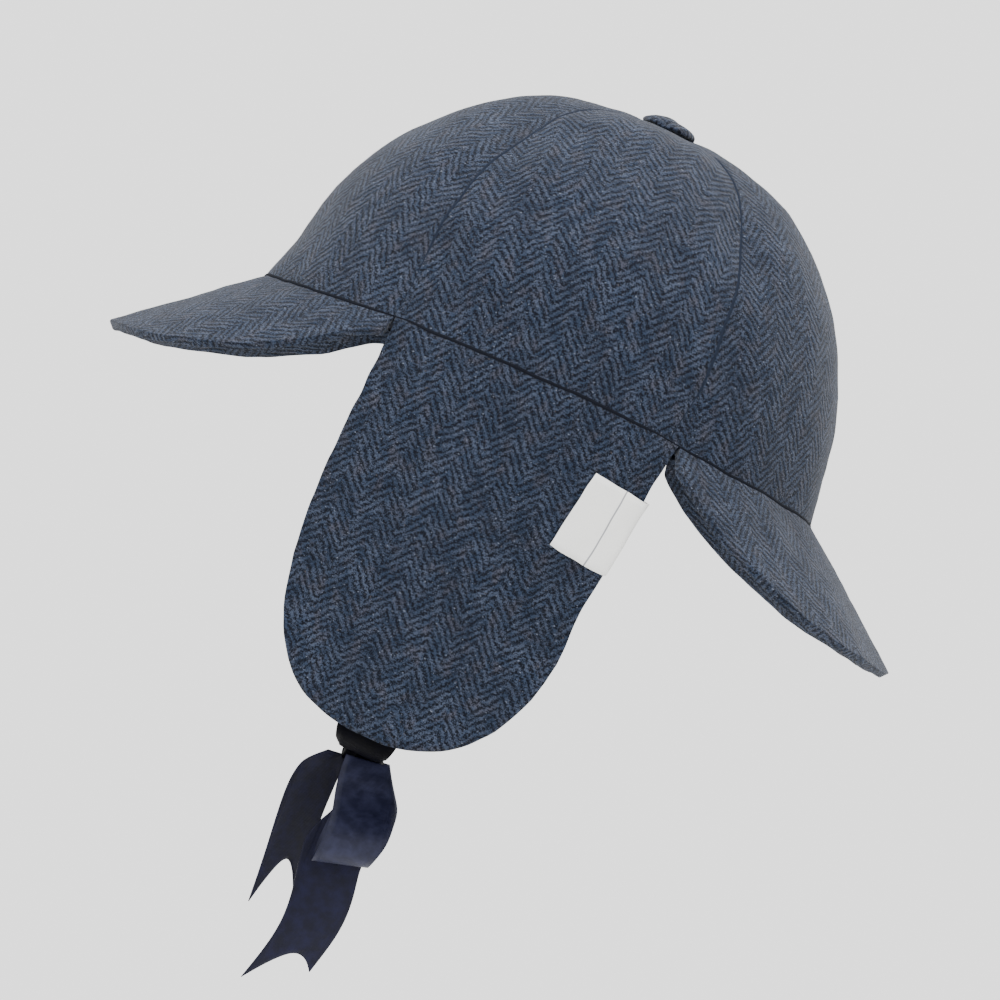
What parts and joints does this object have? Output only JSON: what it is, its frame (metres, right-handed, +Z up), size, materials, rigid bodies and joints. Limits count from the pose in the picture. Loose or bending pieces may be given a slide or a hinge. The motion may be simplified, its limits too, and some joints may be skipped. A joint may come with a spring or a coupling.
{
  "type": "deerstalker hat",
  "caption": "Tweed deerstalker hat with a gored crown, covered button, front and back peaks, hanging ear flaps and a ribbon bow.",
  "frame": {"origin": "middle of the head seam, where the hat sits on a head", "axes": "+Z up, front peak towards -X, the wearer's left ear flap at -Y"},
  "size_m": [0.2975, 0.1682, 0.3335],
  "materials": {
    "tweed": "herringbone wool tweed, blue grey",
    "ribbon": "navy satin ribbon",
    "label": "white woven label, blank"
  },
  "bodies": {
    "root": {"crown_panel_front_left": "tweed", "crown_panel_front_right": "tweed", "crown_panel_left": "tweed", "crown_panel_right": "tweed", "crown_panel_back_left": "tweed", "crown_panel_back_right": "tweed", "crown_button": "tweed", "front_peak": "tweed", "back_peak": "tweed", "ear_flap_left": "tweed", "ear_flap_right": "tweed", "chin_ribbon_left": "ribbon", "chin_ribbon_right": "ribbon", "bow_knot": "ribbon", "bow_loop_left": "ribbon", "bow_loop_right": "ribbon", "bow_tail_front": "ribbon", "bow_tail_back": "ribbon", "flap_label": "label"}
  },
  "joints": []
}
